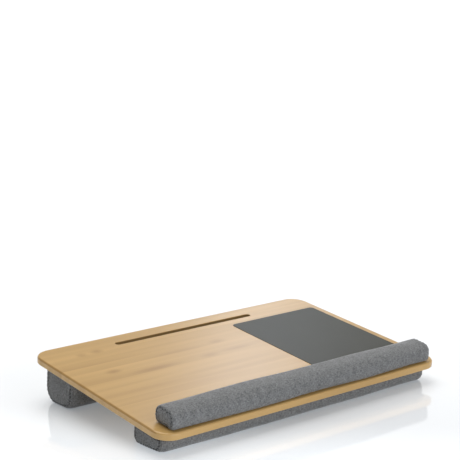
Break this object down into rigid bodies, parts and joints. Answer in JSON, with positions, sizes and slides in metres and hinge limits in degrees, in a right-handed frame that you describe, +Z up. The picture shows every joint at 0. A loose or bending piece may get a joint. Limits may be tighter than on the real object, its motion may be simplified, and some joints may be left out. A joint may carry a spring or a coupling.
{
  "type": "lap desk",
  "caption": "Sloping bamboo lap desk with a fabric wrist rest, inset mouse pad, device groove and fabric bolsters underneath.",
  "frame": {"origin": "on the floor, under the centre of the whole part's box", "axes": "+X to the right along the board, +Y to the rear, where the board is high, +Z up"},
  "size_m": [0.55, 0.3484, 0.0757],
  "materials": {
    "bamboo": "satin",
    "mouse_pad": "satin",
    "adhesive": "satin",
    "cushion_fabric": "matte",
    "foam": "matte",
    "base_panel": "matte",
    "loop_tape": "matte",
    "hook_tape": "matte"
  },
  "bodies": {
    "board": {"bamboo_board": "bamboo", "mouse_pad_surface": "mouse_pad", "mouse_pad_adhesive": "adhesive", "wrist_rest_hook_tapes": "hook_tape", "front_bolster_hook_tapes": "hook_tape", "rear_bolster_hook_tapes": "hook_tape"},
    "wrist_rest": {"wrist_rest_cover": "cushion_fabric", "wrist_rest_end_panel_left": "cushion_fabric", "wrist_rest_end_panel_right": "cushion_fabric", "wrist_rest_foam_core": "foam", "wrist_rest_base_panel": "base_panel", "wrist_rest_loop_tapes": "loop_tape"},
    "front_bolster": {"front_bolster_cover": "cushion_fabric", "front_bolster_end_panel_left": "cushion_fabric", "front_bolster_end_panel_right": "cushion_fabric", "front_bolster_foam_core": "foam", "front_bolster_base_panel": "base_panel", "front_bolster_loop_tapes": "loop_tape"},
    "rear_bolster": {"rear_bolster_cover": "cushion_fabric", "rear_bolster_end_panel_left": "cushion_fabric", "rear_bolster_end_panel_right": "cushion_fabric", "rear_bolster_foam_core": "foam", "rear_bolster_base_panel": "base_panel", "rear_bolster_loop_tapes": "loop_tape"}
  },
  "joints": [
    {"name": "wrist_rest_peel", "type": "slide", "parent": "board", "child": "wrist_rest", "axis": [0, -0.1149, 0.9934], "range_m": [0, 0.06]},
    {"name": "front_bolster_peel", "type": "slide", "parent": "board", "child": "front_bolster", "axis": [0, 0.1149, -0.9934], "range_m": [0, 0.06]},
    {"name": "rear_bolster_peel", "type": "slide", "parent": "board", "child": "rear_bolster", "axis": [0, 0.1149, -0.9934], "range_m": [0, 0.06]}
  ]
}
